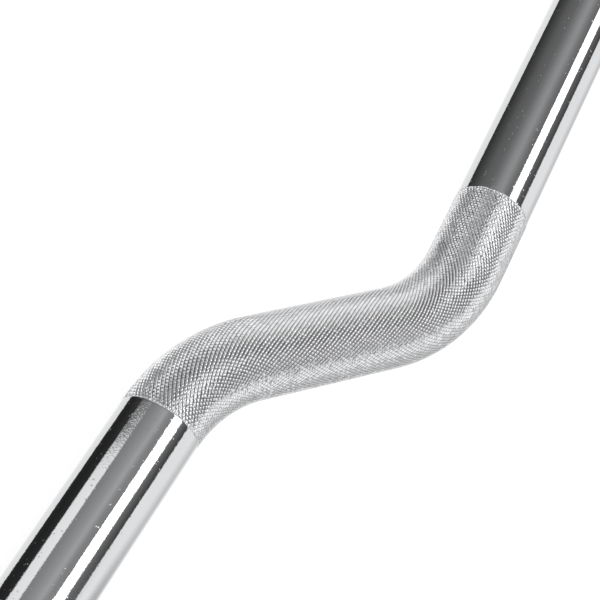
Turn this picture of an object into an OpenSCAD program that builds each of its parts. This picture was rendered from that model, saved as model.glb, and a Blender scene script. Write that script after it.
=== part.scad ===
// EZ curl bar: a bent solid shaft with a rotating 50 mm sleeve on each end.
// +X runs along the bar, +Z is up, and the origin is the midpoint of the
// common axis of the two sleeves. The bar lies on a floor at z = -flange_d/2,
// with its flanges and the two crests of the bends touching that floor.
// All lengths are millimetres.

/* [Shaft] */
// Diameter of the bent grip bar
shaft_d = 25; // [24:0.5:28]
// Angle that each slope makes with the bar's axis, degrees
slope_angle = 43.9; // [32:0.1:50]
// Angle by which each crest falls back towards the axis on its way outwards, degrees
crest_slant = 4.7; // [0:0.1:6]
// Radius of the bends beside a crest, measured at the centreline
crest_bend_r = 55.5; // [45:0.5:65]
// Radius of the bends beside the axis, measured at the centreline
axis_bend_r = 51.7; // [45:0.1:65]
// Straight length between the two bends of an outer slope
slope_len = 49.5; // [40:0.5:65]
// Straight length at the middle of the bar
centre_len = 84; // [60:1:120]
// Straight length along each crest, between an inner and an outer slope
crest_len = 68; // [50:1:90]
// Straight length from the outer bend to the flange
end_len = 154; // [60:1:200]

/* [Knurling] */
// How far each knurled grip runs past the bend beside the axis
grip_past = 22.4; // [5:0.1:25]
// How far the rolled knurling stands out of the smooth bar
grip_rise = 0.15; // [0.1:0.01:0.25]

/* [Sleeve] */
// Diameter of the sleeve that takes the weight plates
sleeve_d = 50; // [49:0.5:50.5]
// Length of sleeve that the plates can use
sleeve_len = 160; // [120:1:260]
// Diameter of the flange that stops the plates
flange_d = 76; // [60:1:90]
// Thickness of the flange
flange_t = 16; // [12:1:22]
// How far the sleeve stands out of the flange towards the grips
nose_len = 8; // [4:0.5:12]

/* [Bearings] */
// Number of needles in each bearing
needles = 18; // [12:1:20]
// Length of each bearing's cup
cup_len = 20; // [16:1:24]

/* [Hidden] */

$fn = 96;

shaft_r = shaft_d / 2;
sleeve_r = sleeve_d / 2;
flange_r = flange_d / 2;

// How far an outer slope with its bends runs across the bar and along it
outer_h = crest_bend_r * (cos(crest_slant) - cos(slope_angle))
    + slope_len * sin(slope_angle) + axis_bend_r * (1 - cos(slope_angle));
outer_x = crest_bend_r * (sin(slope_angle) - sin(crest_slant))
    + slope_len * cos(slope_angle) + axis_bend_r * sin(slope_angle);
// The inner slope is longer by what the slanted crest loses, so that both ends meet the axis
inner_len = (outer_h + crest_len * sin(crest_slant) - axis_bend_r * (1 - cos(slope_angle))
    - crest_bend_r * (cos(crest_slant) - cos(slope_angle))) / sin(slope_angle);
inner_x = axis_bend_r * sin(slope_angle) + inner_len * cos(slope_angle)
    + crest_bend_r * (sin(slope_angle) + sin(crest_slant));
// Deepest point of the centreline at a crest
crest_h = outer_h + crest_len * sin(crest_slant) + crest_bend_r * (1 - cos(crest_slant));
// Bends stand between the smooth bar and the straight part of a grip
bend_rise = grip_rise * 0.6;
// Tilt of the bent part about the sleeve axis that brings the crests to the floor
tilt = asin(min(0.95, (flange_r - shaft_r - bend_rise) / crest_h));
// Inner face of the flange, from the middle of the bar
face_x = centre_len / 2 + inner_x + crest_len * cos(crest_slant) + outer_x + end_len;

// Radii inside the sleeve: journal, needle track, bearing cup, washer pocket, cap seat
journal_r = shaft_r - 1.5;
needle_r = 0.98;
track_r = journal_r + 2;
cup_r = track_r + 1;
pocket_r = cup_r + 2;
cap_r = sleeve_r - 6;
spigot_r = sleeve_r - 3;
play = 0.1;
// Depth of the counterbore in the flange's outer face that the sleeve's shoulder
// seats in; a narrow groove stays round the sleeve there, so a plate lies flat
seat_depth = 0.8;

// Distances outwards from the flange's inner face
shoulder_t = 8;
washer_t = 1.5;
inner_seat_t = shoulder_t + washer_t + play;
tip_t = flange_t + sleeve_len;
cap_t = tip_t - 6;
outer_seat_t = tip_t - 14;
outer_washer_t = outer_seat_t + play;
clip_t = outer_washer_t + washer_t;
inner_cup_t = inner_seat_t + 1.4;
outer_cup_t = outer_seat_t - 1.9 - cup_len;

// ---- helpers -------------------------------------------------------------

// Places something that is drawn along +Z, outwards from the flange's inner
// face, on the right end (side = 1) or the left end (side = -1).
module at_end(side) {
    if (side > 0) translate([face_x, 0, 0]) rotate([0, 90, 0]) children();
    else mirror([1, 0, 0]) translate([face_x, 0, 0]) rotate([0, 90, 0]) children();
}

// A turned piece: points are [radius, distance along the axis]
module turned(points) rotate_extrude() polygon(points);

// A flat ring of radii r1 to r2 from height z1 to z2
module ring(r1, r2, z1, z2) turned([[r1, z1], [r2, z1], [r2, z2], [r1, z2]]);

// A rectangle from (x1, y1) to (x2, y2) with round corners of radius c
module round_rect(x1, y1, x2, y2, c) {
    translate([x1 + c, y1]) square([x2 - x1 - 2 * c, y2 - y1]);
    translate([x1, y1 + c]) square([x2 - x1, y2 - y1 - 2 * c]);
    for (x = [x1 + c, x2 - c], y = [y1 + c, y2 - c]) translate([x, y]) circle(r = c);
}

// ---- shaft ---------------------------------------------------------------
// The bar is drawn as a path that starts at the origin and heads along +X.
// Each piece runs a little way inside the thicker one that it meets.
tuck = 1;

// A straight length of bar of radius r, reaching from -before to len + after
module run(len, r, before = 0, after = 0)
    translate([-before, 0, 0]) rotate([0, 90, 0]) cylinder(h = len + before + after, r = r);

// A bend of the bar, through a degrees at centreline radius c, to the left for
// a > 0 and to the right for a < 0, reaching tucked further at both ends
module bend(a, c, before = 0, after = 0) {
    e1 = before / c * 180 / PI;
    e2 = after / c * 180 / PI;
    mirror([0, a < 0 ? 1 : 0, 0]) translate([0, c, 0]) rotate([0, 0, -90 - e1])
        rotate_extrude(angle = abs(a) + e1 + e2) translate([c, 0]) circle(r = shaft_r + bend_rise);
}

// Moves what follows to the far end of a straight length or of a bend
module after_run(len) translate([len, 0, 0]) children();
module after_bend(a, c)
    translate([c * sin(abs(a)), sign(a) * c * (1 - cos(a)), 0]) rotate([0, 0, a]) children();

// A knurled grip that leaves the axis for a crest: past the axis bend, round
// it, down the slope and round the crest bend, which turns through turn
module grip_to_crest(turn, len) {
    translate([-grip_past, 0, 0]) run(grip_past, shaft_r + grip_rise);
    bend(-slope_angle, axis_bend_r, tuck, tuck);
    after_bend(-slope_angle, axis_bend_r) {
        run(len, shaft_r + grip_rise);
        after_run(len) bend(turn, crest_bend_r, tuck, 0);
    }
}

// Half of the bent bar, with its crest towards -Y
module half_bar() translate([centre_len / 2, 0, 0]) {
    grip_to_crest(slope_angle + crest_slant, inner_len);
    translate([inner_x, -crest_h + crest_bend_r * (1 - cos(crest_slant)), 0]) rotate([0, 0, crest_slant]) {
        run(crest_len, shaft_r, tuck, tuck);
    }
    translate([inner_x + crest_len * cos(crest_slant) + outer_x, 0, 0]) {
        mirror([1, 0, 0]) grip_to_crest(slope_angle - crest_slant, slope_len);
        run(end_len + shoulder_t, shaft_r, tuck - grip_past, 0);
    }
}

// The turned end of the shaft inside a sleeve, with its circlip groove
module journal() turned([
    [0, 0], [journal_r, 0], [journal_r, clip_t - 0.05], [journal_r - 0.5, clip_t - 0.05],
    [journal_r - 0.5, clip_t + 1.25], [journal_r, clip_t + 1.25],
    [journal_r, clip_t + 3.2], [journal_r - 1, clip_t + 4.2], [0, clip_t + 4.2]]);

module shaft() color("gainsboro") {
    rotate([tilt, 0, 0]) {
        half_centre = centre_len / 2 - grip_past + tuck;
        translate([-half_centre, 0, 0]) run(2 * half_centre, shaft_r);
        half_bar();
        mirror([1, 0, 0]) half_bar();
    }
    at_end(1) journal();
    at_end(-1) journal();
}

// ---- sleeve and flange ----------------------------------------------------

// The flange that stops the plates, pressed and welded on the sleeve's spigot
module collar_flange(side) color("silver") at_end(side) rotate_extrude() difference() {
    union() {
        round_rect(spigot_r, 0, flange_r, flange_t, 2.5);
        square([flange_r - 8, flange_t]);
    }
    translate([-1, -1]) square([spigot_r + 1, flange_t + 2]);
    translate([-1, flange_t - seat_depth]) square([sleeve_r + 0.5 + 1, seat_depth + 1]);
}

// The sleeve tube: nose, spigot under the flange, shoulder in the counterbore,
// plate seat, stepped bore
module sleeve(side) color("gainsboro") at_end(side) turned([
    [pocket_r, -nose_len], [spigot_r - 1.5, -nose_len], [spigot_r, -nose_len + 1.5],
    [spigot_r, flange_t - seat_depth], [sleeve_r - 0.3, flange_t - seat_depth],
    [sleeve_r - 0.3, flange_t], [sleeve_r, flange_t],
    [sleeve_r, tip_t - 1.5], [sleeve_r - 1.5, tip_t], [cap_r + 0.5, tip_t],
    [cap_r, tip_t - 0.4], [cap_r + 1, tip_t - 0.4], [cap_r + 1, tip_t - 2],
    [cap_r, tip_t - 2], [cap_r, cap_t], [pocket_r, cap_t],
    [pocket_r, outer_seat_t], [cup_r, outer_seat_t],
    [cup_r, outer_seat_t - cup_len - 4], [cup_r - 1, outer_seat_t - cup_len - 4],
    [cup_r - 1, inner_seat_t + cup_len + 4], [cup_r, inner_seat_t + cup_len + 4],
    [cup_r, inner_seat_t], [pocket_r, inner_seat_t]]);

// ---- seal, washers, circlips, cap ------------------------------------------

// Lip seal in the sleeve's nose, bearing on the shaft
module dust_seal(side) color("#26262a") at_end(side) turned([
    [shaft_r + 0.02, -nose_len + 3.2], [shaft_r + 0.9, -nose_len + 1.2], [pocket_r - 1.2, -nose_len + 1.2],
    [pocket_r - 0.6, -nose_len + 0.8], [pocket_r, -nose_len + 0.8], [pocket_r, -nose_len + 6.8],
    [shaft_r + 1.4, -nose_len + 6.8], [shaft_r + 1.4, -nose_len + 4.4], [shaft_r + 0.02, -nose_len + 4.0]]);

// Bronze washer that takes the sleeve's end thrust
module thrust_washer(side, t) color("#b08d57") at_end(side)
    ring(journal_r + 0.05, pocket_r - 0.5, t, t + washer_t);

// External circlip: an open ring with two plier lugs
module shaft_circlip(side) color("#55585c") at_end(side) translate([0, 0, clip_t])
    linear_extrude(1.2) difference() {
        union() {
            circle(r = journal_r + 2.4);
            for (s = [-1, 1]) rotate(s * 13) translate([journal_r + 2.2, 0]) circle(r = 2);
        }
        circle(r = journal_r - 0.48);
        polygon([[0, 0], [pocket_r + 4, -1.9], [pocket_r + 4, 1.9]]);
        for (s = [-1, 1]) rotate(s * 13) translate([journal_r + 2.4, 0]) circle(r = 0.8);
    }

// Domed disc that closes the sleeve's outer end
module end_cap(side) color("silver") at_end(side) turned([
    [0, cap_t], [cap_r - 0.4, cap_t], [cap_r - 0.02, cap_t + 0.4], [cap_r - 0.02, tip_t - 2.02],
    [cap_r - 4.6, tip_t - 2.02], [cap_r - 5.4, tip_t - 1.2], [0, tip_t - 1.2]]);

// Internal circlip that holds the end cap: an open ring with lugs turned inwards
module end_cap_circlip(side) color("#55585c") at_end(side) translate([0, 0, tip_t - 2])
    linear_extrude(1.5) difference() {
        union() {
            difference() {
                circle(r = cap_r + 0.95);
                circle(r = cap_r - 1.9);
            }
            for (s = [-1, 1]) rotate(s * 9) translate([cap_r - 2.1, 0]) circle(r = 1.9);
        }
        polygon([[0, 0], [cap_r + 6, -2], [cap_r + 6, 2]]);
        for (s = [-1, 1]) rotate(s * 9) translate([cap_r - 2.2, 0]) circle(r = 0.8);
    }

// ---- needle bearings -------------------------------------------------------

// Drawn steel cup with a lip at each end, pressed into the sleeve
module bearing_cup(side, t) color("#9a9da3") at_end(side) turned([
    [journal_r + 0.4, t], [cup_r - 0.5, t], [cup_r, t + 0.5],
    [cup_r, t + cup_len - 0.5], [cup_r - 0.5, t + cup_len], [journal_r + 0.4, t + cup_len],
    [journal_r + 0.4, t + cup_len - 1], [track_r, t + cup_len - 1],
    [track_r, t + 1], [journal_r + 0.4, t + 1]]);

// Cage that spaces the needles, with one window for each of them
module bearing_cage(side, t) color("#3f5f4a") at_end(side) difference() {
    ring(journal_r + 0.3, track_r - 0.3, t + 1.2, t + cup_len - 1.2);
    for (i = [0:needles - 1]) rotate(i * 360 / needles)
        translate([journal_r - 1, -needle_r - 0.07, t + 2.05]) cube([4, 2 * needle_r + 0.14, cup_len - 4.1]);
}

// The needles, which roll on the journal inside the cup
module bearing_needles(side, t) color("#d8dade") at_end(side)
    for (i = [0:needles - 1]) rotate(i * 360 / needles)
        translate([journal_r + 1, 0, t + 2.1]) cylinder(h = cup_len - 4.2, r = needle_r, $fn = 32);

// ---- nodes ------------------------------------------------------------------

shaft();

collar_flange(-1);  // left_collar_flange
sleeve(-1);  // left_sleeve
dust_seal(-1);  // left_dust_seal
thrust_washer(-1, shoulder_t);  // left_inner_thrust_washer
bearing_cup(-1, inner_cup_t);  // left_inner_bearing_cup
bearing_cage(-1, inner_cup_t);  // left_inner_bearing_cage
bearing_needles(-1, inner_cup_t);  // left_inner_bearing_needles
bearing_cup(-1, outer_cup_t);  // left_outer_bearing_cup
bearing_cage(-1, outer_cup_t);  // left_outer_bearing_cage
bearing_needles(-1, outer_cup_t);  // left_outer_bearing_needles
thrust_washer(-1, outer_washer_t);  // left_outer_thrust_washer
shaft_circlip(-1);  // left_shaft_circlip
end_cap(-1);  // left_end_cap
end_cap_circlip(-1);  // left_end_cap_circlip

collar_flange(1);  // right_collar_flange
sleeve(1);  // right_sleeve
dust_seal(1);  // right_dust_seal
thrust_washer(1, shoulder_t);  // right_inner_thrust_washer
bearing_cup(1, inner_cup_t);  // right_inner_bearing_cup
bearing_cage(1, inner_cup_t);  // right_inner_bearing_cage
bearing_needles(1, inner_cup_t);  // right_inner_bearing_needles
bearing_cup(1, outer_cup_t);  // right_outer_bearing_cup
bearing_cage(1, outer_cup_t);  // right_outer_bearing_cage
bearing_needles(1, outer_cup_t);  // right_outer_bearing_needles
thrust_washer(1, outer_washer_t);  // right_outer_thrust_washer
shaft_circlip(1);  // right_shaft_circlip
end_cap(1);  // right_end_cap
end_cap_circlip(1);  // right_end_cap_circlip
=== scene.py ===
import math

import bpy
import numpy as np
from mathutils import Matrix, Vector


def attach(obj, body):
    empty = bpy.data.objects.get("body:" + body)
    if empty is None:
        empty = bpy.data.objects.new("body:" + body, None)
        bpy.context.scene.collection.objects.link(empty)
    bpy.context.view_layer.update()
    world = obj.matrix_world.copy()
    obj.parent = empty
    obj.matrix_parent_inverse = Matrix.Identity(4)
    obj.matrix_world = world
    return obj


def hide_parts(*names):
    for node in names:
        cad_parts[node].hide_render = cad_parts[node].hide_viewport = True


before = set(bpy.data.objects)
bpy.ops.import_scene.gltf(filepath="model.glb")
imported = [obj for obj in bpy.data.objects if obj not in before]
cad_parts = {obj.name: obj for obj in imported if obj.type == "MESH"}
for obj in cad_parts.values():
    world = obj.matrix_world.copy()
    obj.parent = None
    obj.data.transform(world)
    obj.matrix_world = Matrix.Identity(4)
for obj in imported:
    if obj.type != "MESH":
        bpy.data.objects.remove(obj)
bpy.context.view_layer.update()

MM = 0.001
RNG = np.random.default_rng(20240611)

# ---------------------------------------------------------------------------
# The bar's dimensions in millimetres, as the CAD has them
# ---------------------------------------------------------------------------
SHAFT_R = 12.5
GRIP_RISE = 0.15
FLANGE_R = 38.0
SLOPE = math.radians(43.9)
SLANT = math.radians(4.7)
CREST_R = 55.5
AXIS_R = 51.7
SLOPE_LEN = 49.5
CENTRE_LEN = 84.0
CREST_LEN = 68.0
END_LEN = 154.0
GRIP_PAST = 22.4

outer_h = CREST_R * (math.cos(SLANT) - math.cos(SLOPE)) + SLOPE_LEN * math.sin(SLOPE) + AXIS_R * (1 - math.cos(SLOPE))
outer_x = CREST_R * (math.sin(SLOPE) - math.sin(SLANT)) + SLOPE_LEN * math.cos(SLOPE) + AXIS_R * math.sin(SLOPE)
inner_len = (outer_h + CREST_LEN * math.sin(SLANT) - AXIS_R * (1 - math.cos(SLOPE))
             - CREST_R * (math.cos(SLANT) - math.cos(SLOPE))) / math.sin(SLOPE)
inner_x = AXIS_R * math.sin(SLOPE) + inner_len * math.cos(SLOPE) + CREST_R * (math.sin(SLOPE) + math.sin(SLANT))
crest_h = outer_h + CREST_LEN * math.sin(SLANT) + CREST_R * (1 - math.cos(SLANT))
TILT = math.asin((FLANGE_R - SHAFT_R - 0.6 * GRIP_RISE) / crest_h)
FACE_X = CENTRE_LEN / 2 + inner_x + CREST_LEN * math.cos(SLANT) + outer_x + END_LEN

# The centreline of the right half, from the middle of the bar outwards:
# (length, turn, radius); a turn of 0 is a straight
SEGMENTS = [
    (CENTRE_LEN / 2, 0, 0),
    (SLOPE * AXIS_R, -SLOPE, AXIS_R),
    (inner_len, 0, 0),
    ((SLOPE + SLANT) * CREST_R, SLOPE + SLANT, CREST_R),
    (CREST_LEN, 0, 0),
    ((SLOPE - SLANT) * CREST_R, SLOPE - SLANT, CREST_R),
    (SLOPE_LEN, 0, 0),
    (SLOPE * AXIS_R, -SLOPE, AXIS_R),
    (END_LEN, 0, 0),
]
S_MARK = np.concatenate([[0.0], np.cumsum([g[0] for g in SEGMENTS])])
S_INNER = (S_MARK[1] - GRIP_PAST, S_MARK[4])      # the inner knurled grip
S_OUTER = (S_MARK[5], S_MARK[8] + GRIP_PAST)      # the outer knurled grip
S_FACE = S_MARK[9]                                # the flange's inner face


def centreline(s):
    """Position and heading of the centreline in the plane of the bends."""
    s = np.asarray(s, float)
    x, y, h = np.zeros_like(s), np.zeros_like(s), np.zeros_like(s)
    X = Y = H = 0.0
    for k, (length, turn, radius) in enumerate(SEGMENTS):
        a = S_MARK[k] if k else -1e9
        b = S_MARK[k + 1] if k + 1 < len(SEGMENTS) else 1e9
        m = (s >= a) & (s <= b)
        d = s[m] - S_MARK[k]
        if turn == 0:
            x[m], y[m], h[m] = X + d * math.cos(H), Y + d * math.sin(H), H
            X, Y = X + length * math.cos(H), Y + length * math.sin(H)
        else:
            g = math.copysign(1.0, turn)
            hh = H + g * d / radius
            x[m] = X - g * radius * math.sin(H) + g * radius * np.sin(hh)
            y[m] = Y + g * radius * math.cos(H) - g * radius * np.cos(hh)
            h[m] = hh
            X, Y = (X - g * radius * math.sin(H) + g * radius * math.sin(H + turn),
                    Y + g * radius * math.cos(H) - g * radius * math.cos(H + turn))
            H += turn
    return x, y, h


def on_bar(s, phi, r, side):
    """Points at arc length s, angle phi round the bar and radius r, in metres."""
    x, y, h = centreline(s)
    off = r * np.cos(phi)
    px = x - off * np.sin(h)
    py = y + off * np.cos(h)
    pb = r * np.sin(phi)
    out = np.stack([side * px,
                    py * math.cos(TILT) - pb * math.sin(TILT),
                    py * math.sin(TILT) + pb * math.cos(TILT)], -1)
    return out * MM


# ---------------------------------------------------------------------------
# Mesh helpers
# ---------------------------------------------------------------------------
def new_object(name, verts, faces, smooth):
    me = bpy.data.meshes.new(name)
    me.from_pydata([tuple(v) for v in verts], [], [tuple(f) for f in faces])
    me.validate()
    me.polygons.foreach_set("use_smooth", [smooth] * len(me.polygons))
    me.update()
    ob = bpy.data.objects.new(name, me)
    bpy.context.scene.collection.objects.link(ob)
    return ob


def rounded(points, closed=True, steps=5):
    """Corners of a profile with their own fillets: (radius, place, fillet)."""
    pts = [Vector((p[0], p[1])) for p in points]
    fil = [p[2] if len(p) > 2 else 0.0 for p in points]
    out = []
    n = len(pts)
    for i in range(n):
        p, f = pts[i], fil[i]
        if f <= 0 or (not closed and i in (0, n - 1)):
            out.append((p.x, p.y))
            continue
        a, b = (pts[i - 1] - p), (pts[(i + 1) % n] - p)
        la, lb = a.length, b.length
        a.normalize()
        b.normalize()
        ang = math.acos(max(-1.0, min(1.0, a.dot(b))))
        d = min(f / math.tan(ang / 2), 0.48 * la, 0.48 * lb)
        r = d * math.tan(ang / 2)
        c = p + (a + b).normalized() * (r / math.sin(ang / 2))
        v0, v1 = (p + a * d) - c, (p + b * d) - c
        a0 = math.atan2(v0.y, v0.x)
        da = (math.atan2(v1.y, v1.x) - a0 + math.pi) % (2 * math.pi) - math.pi
        for k in range(steps + 1):
            t = a0 + da * k / steps
            out.append((c.x + r * math.cos(t), c.y + r * math.sin(t)))
    return out


def densify(profile, closed, longest):
    """Splits long edges, so shading and procedural waves stay even."""
    out = []
    n = len(profile)
    for i in range(n if closed else n - 1):
        (r0, t0), (r1, t1) = profile[i], profile[(i + 1) % n]
        k = max(1, int(math.ceil(math.hypot(r1 - r0, t1 - t0) / longest)))
        for j in range(k):
            out.append((r0 + (r1 - r0) * j / k, t0 + (t1 - t0) * j / k))
    if not closed:
        out.append(profile[-1])
    return out


def sweep(name, profile, side, seg=144, closed=False):
    """Turns a profile of (radius, arc length) round the bar's centreline."""
    prof = np.array(profile, float)
    phi = np.arange(seg) * 2 * math.pi / seg
    n = len(prof)
    S = np.repeat(prof[:, 1], seg)
    R = np.repeat(prof[:, 0], seg)
    F = np.tile(phi, n)
    verts = on_bar(S, F, R, side)
    faces = []
    for i in range(n if closed else n - 1):
        i2 = (i + 1) % n
        for j in range(seg):
            j2 = (j + 1) % seg
            f = (i * seg + j, i * seg + j2, i2 * seg + j2, i2 * seg + j)
            faces.append(f if side > 0 else f[::-1])
    # ends that reach the axis close with one shared vertex ring merged to a point
    verts = list(map(tuple, verts))
    if not closed:
        for i, flip in ((0, True), (n - 1, False)):
            if prof[i, 0] < 1e-6:
                base = i * seg
                c = np.mean([verts[base + j] for j in range(seg)], 0)
                for j in range(seg):
                    verts[base + j] = tuple(c)
    ob = new_object(name, verts, faces, True)
    merge(ob)
    return ob


def merge(ob, dist=2e-7):
    import bmesh
    bm = bmesh.new()
    bm.from_mesh(ob.data)
    bmesh.ops.remove_doubles(bm, verts=bm.verts, dist=dist)
    bmesh.ops.dissolve_degenerate(bm, dist=1e-8, edges=bm.edges)
    bm.to_mesh(ob.data)
    bm.free()
    ob.data.update()


def sharpen(ob, degrees=32.0):
    """Smooth shading that breaks where two faces meet at more than an angle."""
    ob.data.set_sharp_from_angle(angle=math.radians(degrees))


def float_attr(ob, name, values):
    at = ob.data.attributes.new(name, "FLOAT", "POINT")
    at.data.foreach_set("value", np.asarray(values, np.float32))


# ---------------------------------------------------------------------------
# Knurling: real truncated pyramids between two families of rolled grooves
# ---------------------------------------------------------------------------
STARTS = 62              # grooves of each family round the bar
PITCH = 1.82             # spacing of one family along the bar
DEEP, WIDE = -0.18, 0.225        # one roll cuts deeper: depth from the smooth surface,
LIGHT, SLIM = -0.145, 0.18       # and half width as a share of the pitch
TOP = 0.045
CROWN = 0.11


def clip_poly(poly, w0, keep_above):
    out = []
    for k in range(len(poly)):
        p, q = poly[k], poly[(k + 1) % len(poly)]
        ip = p[1] >= w0 if keep_above else p[1] <= w0
        iq = q[1] >= w0 if keep_above else q[1] <= w0
        if ip:
            out.append(p)
        if ip != iq:
            t = (w0 - p[1]) / (q[1] - p[1])
            out.append(tuple(p[m] + (q[m] - p[m]) * t if m != 1 else w0 for m in range(3)))
    return out


def knurl(name, s0, s1, side, seed):
    rng = np.random.default_rng(seed)
    w0, w1 = s0 / PITCH, s1 / PITCH
    lo, hi = int(math.floor(2 * w0)) - 2, int(math.ceil(2 * w1)) + 2
    polys, soft = [], []           # polygons as lists of (u, w, height); which are smooth
    walls = []
    for k in range(lo, hi + 1):                    # k = i - j, twice the w of the centre
        for m in range(STARTS):
            # i + j + 1 = 2u of the centre; same parity rule for every row
            tot = 2 * m + (k & 1)
            i = (tot + k) / 2.0
            j = (tot - k) / 2.0
            # lowest corner (a, b) = (i, j); both are integers when tot and k agree
            if k / 2.0 < w0 - 0.6 or k / 2.0 > w1 + 0.6:
                continue
            top = TOP + rng.normal(0, 0.012)
            crown = CROWN + max(-0.03, min(0.03, rng.normal(0, 0.012)))
            jit = rng.normal(0, 0.022, (4, 2))

            def at(a, b, height):
                # the deep grooves have the same hand on both halves of the bar
                a, b = (a, b) if side < 0 else (b, a)
                return ((i + a + j + b) / 2, (i + a - j - b) / 2, height)

            tp = [at(a + jit[q, 0], b + jit[q, 1], top + rng.normal(0, 0.008)) for q, (a, b) in
                  enumerate(((SLIM, WIDE), (1 - SLIM, WIDE), (1 - SLIM, 1 - WIDE), (SLIM, 1 - WIDE)))]
            cor = [at(a, b, DEEP) for a, b in ((0, 0), (1, 0), (1, 1), (0, 1))]
            lip = [at(a, b, LIGHT) for a, b in ((1, WIDE), (1, 1 - WIDE), (0, 1 - WIDE), (0, WIDE))]
            cen = at(0.5, 0.5, crown)
            fs = [([cor[0], cor[1], tp[1], tp[0]], False), ([cor[2], cor[3], tp[3], tp[2]], False),
                  ([cor[1], lip[0], tp[1]], False), ([lip[0], lip[1], tp[2], tp[1]], False), ([lip[1], cor[2], tp[2]], False),
                  ([cor[3], lip[2], tp[3]], False), ([lip[2], lip[3], tp[0], tp[3]], False), ([lip[3], cor[0], tp[0]], False)]
            fs += [([tp[q], tp[(q + 1) % 4], cen], True) for q in range(4)]
            if side > 0:
                fs = [(f[::-1], round_top) for f, round_top in fs]
            w_c = k / 2.0
            if w_c < w0 + 0.6 or w_c > w1 - 0.6:
                for f, round_top in fs:
                    f = clip_poly(f, w0, True)
                    if len(f) >= 3:
                        f = clip_poly(f, w1, False)
                    if len(f) >= 3:
                        polys.append(f)
                        soft.append(round_top)
                        for q in range(len(f)):
                            a, b = f[q], f[(q + 1) % len(f)]
                            for ww in (w0, w1):
                                if a[1] == ww and b[1] == ww and abs(a[0] - b[0]) > 1e-9:
                                    low_a, low_b = (a[0], a[1], -0.5), (b[0], b[1], -0.5)
                                    walls.append([b, a, low_a, low_b])
                                    # a disc inside the bar closes the end
                                    walls.append([low_b, low_a, (a[0], a[1], -SHAFT_R)])
            else:
                for f, round_top in fs:
                    polys.append(f)
                    soft.append(round_top)
    polys += walls
    soft += [False] * len(walls)
    sizes = np.array([len(p) for p in polys])
    flat = np.array([v for p in polys for v in p], float)
    s = flat[:, 1] * PITCH
    # the rolls enter gently, so the first teeth are a little shallower
    edge = np.clip(np.minimum(s - s0, s1 - s) / 1.1, 0, 1)
    fade = 0.55 + 0.45 * edge * edge * (3 - 2 * edge)
    h = np.where(flat[:, 2] > -0.45, flat[:, 2] * fade, flat[:, 2])
    phi = flat[:, 0] * 2 * math.pi / STARTS
    co = on_bar(s, phi, SHAFT_R + h, side)
    key = np.round(co / 1e-8).astype(np.int64)
    _, first, inv = np.unique(key, axis=0, return_index=True, return_inverse=True)
    inv = inv.reshape(-1)
    faces, shade, at = [], [], 0
    for n, round_top in zip(sizes, soft):
        f = inv[at:at + n].tolist()
        at += n
        f = [v for q, v in enumerate(f) if v != f[q - 1]]
        if len(f) >= 3:
            faces.append(f if side < 0 else f[::-1])
            shade.append(round_top)
    ob = new_object(name, co[first], faces, False)
    if len(ob.data.polygons) == len(shade):
        ob.data.polygons.foreach_set("use_smooth", shade)
    # 0 at the bottom of the grooves, 1 on the tops
    float_attr(ob, "height", np.clip((h[first] - DEEP) / (TOP - DEEP), 0, 1))
    return ob


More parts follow.
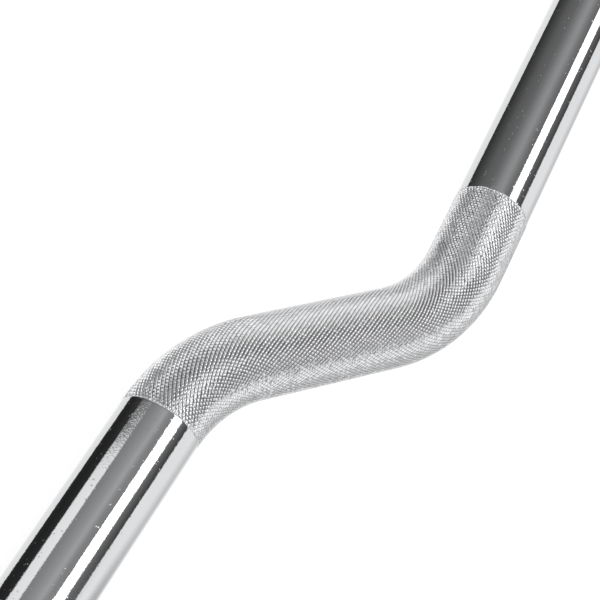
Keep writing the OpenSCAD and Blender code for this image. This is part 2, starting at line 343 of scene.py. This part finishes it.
# ---------------------------------------------------------------------------
# Materials
# ---------------------------------------------------------------------------
class Mat:
    def __init__(self, name):
        self.m = bpy.data.materials.new(name)
        self.m.use_nodes = True
        self.t = self.m.node_tree
        self.b = next(n for n in self.t.nodes if n.type == "BSDF_PRINCIPLED")
        self.obj = self.node("ShaderNodeTexCoord").outputs["Object"]

    def node(self, kind, **props):
        n = self.t.nodes.new(kind)
        for k, v in props.items():
            setattr(n, k, v)
        return n

    def link(self, a, b):
        self.t.links.new(a, b)

    def set(self, **kw):
        for k, v in kw.items():
            self.b.inputs[k.replace("_", " ")].default_value = v

    def mapping(self, scale, vec=None):
        n = self.node("ShaderNodeMapping")
        n.inputs["Scale"].default_value = scale
        self.link(vec or self.obj, n.inputs["Vector"])
        return n.outputs["Vector"]

    def noise(self, scale, detail=2.0, rough=0.5, vec=None, distortion=0.0):
        n = self.node("ShaderNodeTexNoise")
        n.inputs["Scale"].default_value = scale
        n.inputs["Detail"].default_value = detail
        n.inputs["Roughness"].default_value = rough
        n.inputs["Distortion"].default_value = distortion
        self.link(vec or self.obj, n.inputs["Vector"])
        return n.outputs["Fac"]

    def cells(self, scale, vec=None, feature="F1"):
        n = self.node("ShaderNodeTexVoronoi", feature=feature)
        n.inputs["Scale"].default_value = scale
        self.link(vec or self.obj, n.inputs["Vector"])
        return n

    def math(self, op, a, b=None, c=None, clamp=False):
        n = self.node("ShaderNodeMath", operation=op, use_clamp=clamp)
        for k, v in enumerate((a, b, c)):
            if v is None:
                continue
            if isinstance(v, (int, float)):
                n.inputs[k].default_value = v
            else:
                self.link(v, n.inputs[k])
        return n.outputs[0]

    def remap(self, v, a, b, c, d, smooth=False):
        n = self.node("ShaderNodeMapRange", interpolation_type="SMOOTHSTEP" if smooth else "LINEAR")
        self.link(v, n.inputs["Value"])
        for k, x in zip(("From Min", "From Max", "To Min", "To Max"), (a, b, c, d)):
            n.inputs[k].default_value = x
        return n.outputs["Result"]

    def ramp(self, v, stops):
        n = self.node("ShaderNodeValToRGB")
        e = n.color_ramp.elements
        while len(e) < len(stops):
            e.new(0.5)
        for k, (p, c) in enumerate(stops):
            e[k].position = p
            e[k].color = (*c, 1) if len(c) == 3 else c
        self.link(v, n.inputs["Fac"])
        return n.outputs["Color"]

    def bump(self, height, distance, strength=1.0, normal=None):
        n = self.node("ShaderNodeBump")
        n.inputs["Strength"].default_value = strength
        n.inputs["Distance"].default_value = distance
        self.link(height, n.inputs["Height"])
        if normal is not None:
            self.link(normal, n.inputs["Normal"])
        return n.outputs["Normal"]

    def radius(self):
        """Distance from the sleeve axis, which is the X axis of the frame."""
        s = self.node("ShaderNodeSeparateXYZ")
        self.link(self.obj, s.inputs[0])
        return self.math("SQRT", self.math("ADD", self.math("MULTIPLY", s.outputs[1], s.outputs[1]),
                                           self.math("MULTIPLY", s.outputs[2], s.outputs[2]))), s.outputs[0]

    def attribute(self, name):
        n = self.node("ShaderNodeAttribute", attribute_name=name)
        return n.outputs["Fac"]


def bar_chrome():
    """Bright plate: slow waviness, orange peel, pits and dust specks."""
    m = Mat("bar_chrome")
    m.set(Metallic=1.0)
    slow = m.noise(120.0, 2.0, 0.5)
    peel = m.noise(1900.0, 2.0, 0.55)
    near = m.attribute("near_knurl")
    pits = m.cells(640.0)
    size = m.noise(330.0, 0.0)
    # pits are more frequent beside the knurling
    reach = m.math("MULTIPLY_ADD", near, 0.10, m.remap(size, 0.40, 0.66, 0.0, 0.145))
    hole = m.remap(m.math("SUBTRACT", pits.outputs["Distance"], reach), -0.05, 0.03, 1.0, 0.0, True)
    n1 = m.bump(slow, 0.000016)
    n2 = m.bump(m.math("MULTIPLY", peel, m.math("MULTIPLY_ADD", near, 1.1, 0.42)), 0.000012, 1.0, n1)
    n3 = m.bump(hole, 0.000014, 1.0, n2)
    m.link(n3, m.b.inputs["Normal"])
    m.link(m.ramp(m.noise(60.0, 4.0, 0.6), [(0.3, (0.775, 0.785, 0.800)), (0.7, (0.805, 0.812, 0.825))]), m.b.inputs["Base Color"])
    m.link(m.math("ADD", m.remap(m.noise(300.0, 3.0, 0.6), 0.35, 0.75, 0.018, 0.05), m.math("MULTIPLY", hole, 0.12)), m.b.inputs["Roughness"])
    return m.m


def knurl_chrome():
    """The same plate on the rolled diamonds: softer edges, more haze, and painted shade darkening the grooves."""
    m = Mat("knurl_chrome")
    m.set(Metallic=1.0)
    # painted shade: the base colour darkens towards the bottom of the grooves, standing in for the shade the diamonds
    # cast on each other
    plate = m.ramp(m.noise(700.0, 3.0, 0.6), [(0.3, (0.84, 0.848, 0.86)), (0.7, (0.92, 0.925, 0.94))])
    groove_shade = m.remap(m.attribute("height"), 0.0, 0.5, 0.30, 1.0, True)
    plate_with_groove_shade = m.node("ShaderNodeVectorMath", operation="SCALE")
    m.link(plate, plate_with_groove_shade.inputs[0])
    m.link(groove_shade, plate_with_groove_shade.inputs["Scale"])
    m.link(plate_with_groove_shade.outputs["Vector"], m.b.inputs["Base Color"])
    m.link(m.remap(m.noise(1500.0, 2.0, 0.6), 0.3, 0.7, 0.022, 0.06), m.b.inputs["Roughness"])
    m.link(m.bump(m.noise(2600.0, 2.0, 0.6), 0.000006, 0.8), m.b.inputs["Normal"])
    return m.m


def turned_chrome(name, across, rough, depth, tone=1.0):
    """Plate over turning marks; the marks run round the X axis."""
    m = Mat(name)
    m.set(Metallic=1.0)
    r, x = m.radius()
    v = m.node("ShaderNodeCombineXYZ")
    if across == "x":
        m.link(x, v.inputs[0])
    else:
        m.link(r, v.inputs[0])
    fine = m.noise(5200.0, 2.0, 0.6, v.outputs[0])
    wide = m.noise(700.0, 2.0, 0.5, v.outputs[0])
    slow = m.noise(90.0, 2.0, 0.5)
    n1 = m.bump(slow, 0.00001)
    n2 = m.bump(m.math("ADD", fine, m.math("MULTIPLY", wide, 0.7)), depth, 1.0, n1)
    dust = m.cells(330.0)
    spot = m.remap(dust.outputs["Distance"], 0.04, 0.09, 1.0, 0.0, True)
    n3 = m.bump(spot, 0.00001, 1.0, n2)
    m.link(n3, m.b.inputs["Normal"])
    lo, hi = 0.74 * tone, 0.80 * tone
    m.link(m.ramp(m.noise(45.0, 4.0, 0.6), [(0.3, (lo, lo * 1.01, lo * 1.03)), (0.7, (hi, hi * 1.01, hi * 1.02))]), m.b.inputs["Base Color"])
    m.link(m.math("ADD", m.remap(wide, 0.3, 0.7, rough * 0.7, rough * 1.4), m.math("MULTIPLY", spot, 0.1)), m.b.inputs["Roughness"])
    return m.m


def rubber():
    m = Mat("seal_rubber")
    m.set(Metallic=0.0)
    m.link(m.ramp(m.noise(500.0, 4.0, 0.6), [(0.35, (0.022, 0.022, 0.024)), (0.7, (0.042, 0.042, 0.045))]), m.b.inputs["Base Color"])
    m.link(m.remap(m.noise(900.0, 3.0, 0.6), 0.3, 0.7, 0.48, 0.68), m.b.inputs["Roughness"])
    m.link(m.bump(m.noise(2500.0, 2.0, 0.5), 0.00004), m.b.inputs["Normal"])
    return m.m


def bronze():
    m = Mat("washer_bronze")
    m.set(Metallic=1.0)
    r, x = m.radius()
    v = m.node("ShaderNodeCombineXYZ")
    m.link(r, v.inputs[0])
    lines = m.noise(4200.0, 2.0, 0.6, v.outputs[0])
    m.link(m.ramp(m.noise(240.0, 4.0, 0.6), [(0.3, (0.50, 0.34, 0.16)), (0.7, (0.68, 0.49, 0.26))]), m.b.inputs["Base Color"])
    m.link(m.remap(m.noise(400.0, 3.0), 0.3, 0.7, 0.26, 0.42), m.b.inputs["Roughness"])
    m.link(m.bump(lines, 0.00002), m.b.inputs["Normal"])
    return m.m


def spring():
    m = Mat("spring_steel")
    m.set(Metallic=0.85)
    m.link(m.ramp(m.noise(420.0, 4.0, 0.65), [(0.3, (0.10, 0.10, 0.108)), (0.7, (0.185, 0.185, 0.195))]), m.b.inputs["Base Color"])
    m.link(m.remap(m.noise(700.0, 3.0), 0.3, 0.7, 0.34, 0.52), m.b.inputs["Roughness"])
    m.link(m.bump(m.noise(1800.0, 3.0, 0.6), 0.00003), m.b.inputs["Normal"])
    return m.m


def drawn_steel(name, lo, hi, r0, r1, depth):
    m = Mat(name)
    m.set(Metallic=1.0)
    r, x = m.radius()
    v = m.node("ShaderNodeCombineXYZ")
    m.link(x, v.inputs[0])
    m.link(m.ramp(m.noise(200.0, 4.0, 0.6), [(0.3, lo), (0.7, hi)]), m.b.inputs["Base Color"])
    m.link(m.remap(m.noise(500.0, 3.0), 0.3, 0.7, r0, r1), m.b.inputs["Roughness"])
    m.link(m.bump(m.noise(3600.0, 2.0, 0.6, v.outputs[0]), depth), m.b.inputs["Normal"])
    return m.m


def polymer():
    m = Mat("cage_polymer")
    m.set(Metallic=0.0)
    m.link(m.ramp(m.noise(300.0, 4.0, 0.6), [(0.3, (0.10, 0.17, 0.125)), (0.7, (0.14, 0.225, 0.17))]), m.b.inputs["Base Color"])
    m.link(m.remap(m.noise(600.0, 3.0), 0.3, 0.7, 0.42, 0.6), m.b.inputs["Roughness"])
    m.link(m.bump(m.noise(1600.0, 2.0), 0.00003), m.b.inputs["Normal"])
    return m.m


MATS = {
    "bar_chrome": bar_chrome(),
    "knurl_chrome": knurl_chrome(),
    "sleeve_chrome": turned_chrome("sleeve_chrome", "x", 0.07, 0.0000012),
    "flange_chrome": turned_chrome("flange_chrome", "r", 0.06, 0.0000014),
    "cap_chrome": turned_chrome("cap_chrome", "r", 0.20, 0.000004, 0.97),
    "seal_rubber": rubber(),
    "washer_bronze": bronze(),
    "spring_steel": spring(),
    "bearing_steel": drawn_steel("bearing_steel", (0.47, 0.48, 0.50), (0.57, 0.58, 0.60), 0.2, 0.34, 0.000003),
    "needle_steel": drawn_steel("needle_steel", (0.62, 0.63, 0.65), (0.70, 0.71, 0.73), 0.08, 0.16, 0.0000015),
    "cage_polymer": polymer(),
}


def finish_piece(ob, mat, slot, body, *nodes):
    ob.data.materials.clear()
    ob.data.materials.append(MATS[mat])
    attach(ob, body)
    if nodes:
        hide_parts(*nodes)
    return ob


# ---------------------------------------------------------------------------
# The shaft
# ---------------------------------------------------------------------------
def smooth_run(name, s0, s1, side, knurl_at_start, knurl_at_end, tail=None):
    """A smooth straight of the bar; where it meets knurling its edge is rolled over."""
    prof = []
    if knurl_at_start:
        prof += [(0.0, s0 - 0.12), (SHAFT_R - 0.48, s0 - 0.12), (SHAFT_R - 0.12, s0 - 0.04), (SHAFT_R - 0.04, s0 + 0.01),
                 (SHAFT_R - 0.01, s0 + 0.06), (SHAFT_R, s0 + 0.16)]
    n = max(2, int((s1 - s0) / 1.5))
    a = s0 + (0.7 if knurl_at_start else 0)
    b = s1 - (0.7 if knurl_at_end else 0)
    prof += [(SHAFT_R, a + (b - a) * k / n) for k in range(n + 1)]
    if knurl_at_end:
        prof += [(SHAFT_R, s1 - 0.16), (SHAFT_R - 0.01, s1 - 0.06), (SHAFT_R - 0.04, s1 - 0.01),
                 (SHAFT_R - 0.12, s1 + 0.04), (SHAFT_R - 0.48, s1 + 0.12), (0.0, s1 + 0.12)]
    if tail:
        prof = prof[:-1] + tail
    ob = sweep(name, prof, side, 192)
    sharpen(ob, 40)
    # how near each point is to the knurling, from its distance along the bar
    rows = {}
    co = np.array([v.co for v in ob.data.vertices]) / MM
    st = np.arange(s0 - 1, s1 + 1, 0.5)
    cx, cy, _ = centreline(st)
    cl = np.stack([side * cx, cy * math.cos(TILT), cy * math.sin(TILT)], -1)
    val = []
    for c in co:
        s = st[np.argmin(((cl - c) ** 2).sum(1))]
        d = min(s - s0 if knurl_at_start else 1e9, s1 - s if knurl_at_end else 1e9)
        val.append(math.exp(-max(d, 0) / 22.0))
    float_attr(ob, "near_knurl", val)
    return ob


def journal_tail():
    """Shoulder, journal, circlip groove and chamfer inside the sleeve."""
    f = S_FACE
    pts = [(12.5, f + 0.0, 0), (12.5, f + 8.0, 0.25), (11.0, f + 8.0, 0.15),
           (11.0, f + 163.55, 0.04), (10.5, f + 163.55, 0.04), (10.5, f + 164.85, 0.04), (11.0, f + 164.85, 0.04),
           (11.0, f + 166.8, 0.1), (10.0, f + 167.8, 0.1), (0.0, f + 167.8, 0)]
    return densify(rounded(pts, False, 3), False, 6.0)


for side, word in ((-1, "left"), (1, "right")):
    for which, (a, b), seed in (("inner", S_INNER, 11), ("outer", S_OUTER, 23)):
        finish_piece(knurl(f"bar_knurl_{word}_{which}", a, b, side, seed + (side > 0)),
                     "knurl_chrome", "bar_chrome", "shaft", "shaft")
    finish_piece(smooth_run(f"bar_crest_{word}", S_INNER[1], S_OUTER[0], side, True, True),
                 "bar_chrome", "bar_chrome", "shaft", "shaft")
    finish_piece(smooth_run(f"bar_end_{word}", S_OUTER[1], S_FACE, side, True, False, journal_tail()),
                 "bar_chrome", "bar_chrome", "shaft", "shaft")
finish_piece(smooth_run("bar_centre", -S_INNER[0], S_INNER[0], 1, True, True),
             "bar_chrome", "bar_chrome", "shaft", "shaft")

# ---------------------------------------------------------------------------
# Flanges, sleeves, seals and caps
# ---------------------------------------------------------------------------
FLANGE = [(22.0, 0.0, 0.3), (38.0, 0.0, 2.5), (38.0, 16.0, 2.5), (25.5, 16.0, 0.2), (25.5, 15.2, 0.1), (22.0, 15.2, 0)]
SLEEVE = [(16.0, -8.0, 0.3), (20.5, -8.0, 0.4), (22.0, -6.5, 0.4), (22.0, 15.2, 0), (24.7, 15.2, 0.05), (24.7, 16.0, 0.05),
          (25.0, 16.0, 0.08), (25.0, 174.5, 0.5), (23.5, 176.0, 0.5), (19.5, 176.0, 0.15), (19.0, 175.6, 0.1),
          (20.0, 175.6, 0), (20.0, 174.0, 0), (19.0, 174.0, 0.1), (19.0, 170.0, 0.1), (16.0, 170.0, 0.2),
          (16.0, 162.0, 0.1), (14.0, 162.0, 0.1), (14.0, 138.0, 0.05), (13.0, 138.0, 0.1), (13.0, 33.6, 0.1),
          (14.0, 33.6, 0.05), (14.0, 9.6, 0.1), (16.0, 9.6, 0.1)]
SEAL = [(12.54, -4.8, 0.05), (13.4, -6.8, 0.15), (14.8, -6.8, 0.2), (15.4, -7.2, 0.1), (16.0, -7.2, 0.15), (16.0, -1.2, 0.2),
        (13.9, -1.2, 0.2), (13.9, -3.6, 0.2), (12.54, -4.0, 0.05)]
CAP = [(0.0, 170.0, 0), (18.6, 170.0, 0.2), (18.98, 170.4, 0.15), (18.98, 173.98, 0.12), (14.4, 173.98, 0.3),
       (13.6, 174.8, 0.3), (0.0, 174.8, 0)]


def lathe(name, points, side, seg, closed, longest=3.0, steps=5):
    prof = densify(rounded(points, closed, steps), closed, longest)
    prof = [(r, t + S_FACE) for r, t in prof]
    ob = sweep(name, prof, side, seg, closed)
    # the profile runs round the section, so its faces may point inwards: make them point out
    import bmesh
    bm = bmesh.new()
    bm.from_mesh(ob.data)
    bmesh.ops.recalc_face_normals(bm, faces=bm.faces)
    bm.to_mesh(ob.data)
    bm.free()
    sharpen(ob, 34)
    return ob


for side, word in ((-1, "left"), (1, "right")):
    body = f"{word}_sleeve_unit"
    finish_piece(lathe(f"flange_{word}", FLANGE, side, 240, True), "flange_chrome", "flange_chrome", body, f"{word}_collar_flange")
    finish_piece(lathe(f"sleeve_{word}", SLEEVE, side, 216, True, 4.0), "sleeve_chrome", "sleeve_chrome", body, f"{word}_sleeve")
    finish_piece(lathe(f"seal_{word}", SEAL, side, 160, True), "seal_rubber", "seal_rubber", body, f"{word}_dust_seal")
    finish_piece(lathe(f"cap_{word}", CAP, side, 192, False), "cap_chrome", "cap_chrome", body, f"{word}_end_cap")
    for part, mat in (("inner_thrust_washer", "washer_bronze"), ("outer_thrust_washer", "washer_bronze"),
                      ("inner_bearing_cup", "bearing_steel"), ("outer_bearing_cup", "bearing_steel"),
                      ("inner_bearing_cage", "cage_polymer"), ("outer_bearing_cage", "cage_polymer"),
                      ("inner_bearing_needles", "needle_steel"), ("outer_bearing_needles", "needle_steel"),
                      ("shaft_circlip", "spring_steel"), ("end_cap_circlip", "spring_steel")):
        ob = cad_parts[f"{word}_{part}"]
        if not ob.material_slots:
            ob.data.materials.append(MATS[mat])
        for ms in ob.material_slots:
            ms.material = MATS[mat]

# ---------------------------------------------------------------------------
# Floor, light and camera
# ---------------------------------------------------------------------------
def floor():
    n, half = 24, 6.0
    v = [(-half + 2 * half * i / n, -half + 2 * half * j / n, -0.0382) for i in range(n + 1) for j in range(n + 1)]
    f = [(i * (n + 1) + j, (i + 1) * (n + 1) + j, (i + 1) * (n + 1) + j + 1, i * (n + 1) + j + 1) for i in range(n) for j in range(n)]
    ob = new_object("floor", v, f, False)
    m = bpy.data.materials.new("floor")
    m.use_nodes = True
    t = m.node_tree
    for nd in list(t.nodes):
        t.nodes.remove(nd)
    out = t.nodes.new("ShaderNodeOutputMaterial")
    add = t.nodes.new("ShaderNodeAddShader")
    em = t.nodes.new("ShaderNodeEmission")
    em.inputs["Color"].default_value = (1, 1, 1, 1)
    em.inputs["Strength"].default_value = 0.90
    di = t.nodes.new("ShaderNodeBsdfDiffuse")
    di.inputs["Color"].default_value = (0.24, 0.24, 0.24, 1)
    t.links.new(em.outputs[0], add.inputs[0])
    t.links.new(di.outputs[0], add.inputs[1])
    t.links.new(add.outputs[0], out.inputs[0])
    ob.data.materials.append(m)
    ob.visible_glossy = False
    return ob


floor()


def linear(v):
    """Display brightness 0..1 to light, for a chrome that returns four fifths."""
    return (v / 12.92 if v <= 0.04045 else ((v + 0.055) / 1.055) ** 2.4) / 0.79


def studio():
    """Long soft boxes and dark cards along the bar, so the chrome shows bands.

    The angle runs round the X axis from straight down (-90) over the back (0),
    overhead (90) and the front (180) to straight down again (270).
    """
    w = bpy.data.worlds.new("studio")
    bpy.context.scene.world = w
    w.use_nodes = True
    t = w.node_tree
    for nd in list(t.nodes):
        t.nodes.remove(nd)
    N, L = t.nodes.new, t.links.new

    def m(op, a, b=None, clamp=False):
        n = N("ShaderNodeMath")
        n.operation = op
        n.use_clamp = clamp
        for k, v in enumerate((a, b)):
            if v is None:
                continue
            if isinstance(v, (int, float)):
                n.inputs[k].default_value = v
            else:
                L(v, n.inputs[k])
        return n.outputs[0]

    def ramp(v, stops):
        n = N("ShaderNodeValToRGB")
        n.color_ramp.interpolation = "LINEAR"
        e = n.color_ramp.elements
        while len(e) < len(stops):
            e.new(0.5)
        for k, (deg, lev) in enumerate(stops):
            e[k].position = (deg + 90) / 360.0
            c = linear(lev)
            e[k].color = (c, c, c, 1)
        L(v, n.inputs["Fac"])
        return n.outputs["Color"]

    tc = N("ShaderNodeTexCoord")
    sp = N("ShaderNodeSeparateXYZ")
    L(tc.outputs["Generated"], sp.inputs[0])
    dx, dy, dz = sp.outputs
    ang = m("ARCTAN2", dz, dy)                                  # -pi..pi
    ang = m("ADD", ang, m("MULTIPLY", m("LESS_THAN", ang, -math.pi / 2), 2 * math.pi))
    fac = m("MULTIPLY", m("ADD", ang, math.pi / 2), 1 / (2 * math.pi))
    near = ramp(fac, [(-90, 0.86), (-44, 0.90), (-29, 0.92), (-10, 0.74), (0, 0.74), (10, 0.80), (24, 0.865), (56, 0.865),
                      (57.5, 0.22), (66, 0.30), (81.3, 0.42), (82.5, 1.40), (104, 1.40), (105.2, 0.47), (118, 0.50),
                      (131, 0.61), (145, 0.55), (162, 0.50), (174, 0.48), (176, 0.88), (203, 0.86), (205, 0.16),
                      (230, 0.13), (249, 0.15), (250.5, 0.86), (270, 0.86)])
    far = ramp(fac, [(-90, 0.86), (-44, 0.90), (-29, 0.92), (-10, 0.74), (0, 0.74), (10, 0.80), (24, 0.865), (56, 0.865),
                     (57.5, 0.22), (66, 0.30), (81.3, 0.38), (82.5, 1.40), (104, 1.40), (105.2, 0.38), (118, 0.43),
                     (137, 0.55), (148, 0.52), (162, 0.44), (175, 0.38), (200, 0.34), (218, 0.27), (234, 0.22),
                     (249, 0.17), (250.5, 0.86), (270, 0.86)])
    mix = N("ShaderNodeMapRange")
    mix.interpolation_type = "SMOOTHSTEP"
    L(dx, mix.inputs["Value"])
    for k, v in zip(("From Min", "From Max", "To Min", "To Max"), (-0.53, -0.43, 1.0, 0.0)):
        mix.inputs[k].default_value = v
    def blend(f, a, b):
        n = N("ShaderNodeMix")
        n.data_type = "RGBA"
        L(f, n.inputs["Factor"])
        L(a, n.inputs[6])
        L(b, n.inputs[7])
        return n.outputs[2]

    def step(v, a, b, c, d):
        n = N("ShaderNodeMapRange")
        n.interpolation_type = "SMOOTHSTEP"
        L(v, n.inputs["Value"])
        for k, x in zip(("From Min", "From Max", "To Min", "To Max"), (a, b, c, d)):
            n.inputs[k].default_value = x
        return n.outputs["Result"]

    # the light card in front ends part of the way along
    near = blend(step(dx, -0.439, -0.425, 1.0, 0.0), near, ramp(fac, [
        (-90, 0.86), (-44, 0.90), (-29, 0.92), (-10, 0.74), (0, 0.74), (10, 0.80), (24, 0.865), (56, 0.865),
        (57.5, 0.22), (66, 0.30), (81.3, 0.42), (82.5, 1.40), (104, 1.40), (105.2, 0.47), (118, 0.50),
        (131, 0.61), (145, 0.55), (162, 0.50), (188, 0.46), (203, 0.36), (205, 0.16),
        (230, 0.13), (249, 0.15), (250.5, 0.86), (270, 0.86)]))
    banded = blend(mix.outputs["Result"], near, far)
    # towards the two ends of the bar everything is brighter
    side = ramp(fac, [(-90, 0.90), (-40, 0.88), (-27, 0.80), (-10, 0.60), (8, 0.56), (20, 0.72), (32, 0.88), (42, 0.88),
                      (55, 0.78), (58, 0.48), (76, 0.44), (84, 0.62), (102, 0.66), (107, 0.96), (128, 0.96), (132, 0.50),
                      (150, 0.42), (174, 0.42), (177, 0.98), (203, 0.94), (206, 0.50), (240, 0.46), (246, 0.90), (270, 0.90)])
    left = ramp(fac, [(-90, 0.90), (-40, 0.88), (-27, 0.80), (-10, 0.60), (8, 0.56), (20, 0.72), (32, 0.88), (42, 0.88),
                      (55, 0.78), (58, 0.48), (76, 0.44), (84, 0.62), (104, 0.64), (128, 0.58), (132, 0.50),
                      (150, 0.42), (174, 0.42), (177, 0.98), (203, 0.94), (206, 0.50), (240, 0.46), (246, 0.90), (270, 0.90)])
    mc_out = blend(step(dx, -0.27, -0.14, 0.0, 1.0), blend(step(dx, -0.80, -0.66, 1.0, 0.0), banded, left), side)
    # nearer to the ends they blur into broad patches
    patch = ramp(fac, [(-90, 0.90), (104, 0.90), (114, 0.66), (142, 0.62), (156, 1.00), (236, 1.00), (250, 0.90), (270, 0.90)])
    mc_out = blend(step(m("ABSOLUTE", dx), 0.80, 0.92, 0.0, 1.0), mc_out, patch)
    # the poles of the bands, seen in faces square to the bar, are one soft grey
    pole = N("ShaderNodeMapRange")
    pole.interpolation_type = "SMOOTHSTEP"
    L(m("ABSOLUTE", dx), pole.inputs["Value"])
    for k, v in zip(("From Min", "From Max", "To Min", "To Max"), (0.955, 0.99, 0.0, 1.0)):
        pole.inputs[k].default_value = v
    mp = N("ShaderNodeMix")
    mp.data_type = "RGBA"
    L(pole.outputs["Result"], mp.inputs["Factor"])
    L(mc_out, mp.inputs[6])
    g = linear(0.90)
    mp.inputs[7].default_value = (g, g, g, 1)
    bg = N("ShaderNodeBackground")
    L(mp.outputs[2], bg.inputs["Color"])
    white = N("ShaderNodeBackground")
    white.inputs["Color"].default_value = (1, 1, 1, 1)
    lp = N("ShaderNodeLightPath")
    ms = N("ShaderNodeMixShader")
    L(lp.outputs["Is Camera Ray"], ms.inputs[0])
    L(bg.outputs[0], ms.inputs[1])
    L(white.outputs[0], ms.inputs[2])
    out = N("ShaderNodeOutputWorld")
    L(ms.outputs[0], out.inputs[0])


studio()

cam = bpy.data.objects.new("camera", bpy.data.cameras.new("camera"))
bpy.context.scene.collection.objects.link(cam)
cam.data.sensor_width = 36.0
cam.data.lens = 102.465
cam.data.clip_start = 0.01
cam.data.clip_end = 50.0
cam.matrix_world = Matrix((
    (-0.4185375, -0.7890457, 0.4497034, -0.0593254),
    (0.5101631, -0.6139153, -0.6023634, -0.3487203),
    (0.7513721, -0.0226896, 0.6594886, 0.3204498),
    (0, 0, 0, 1)))
bpy.context.scene.camera = cam

view = bpy.context.scene.view_settings
view.view_transform = "Standard"
view.look = "None"
view.exposure = 0.0
view.gamma = 1.0
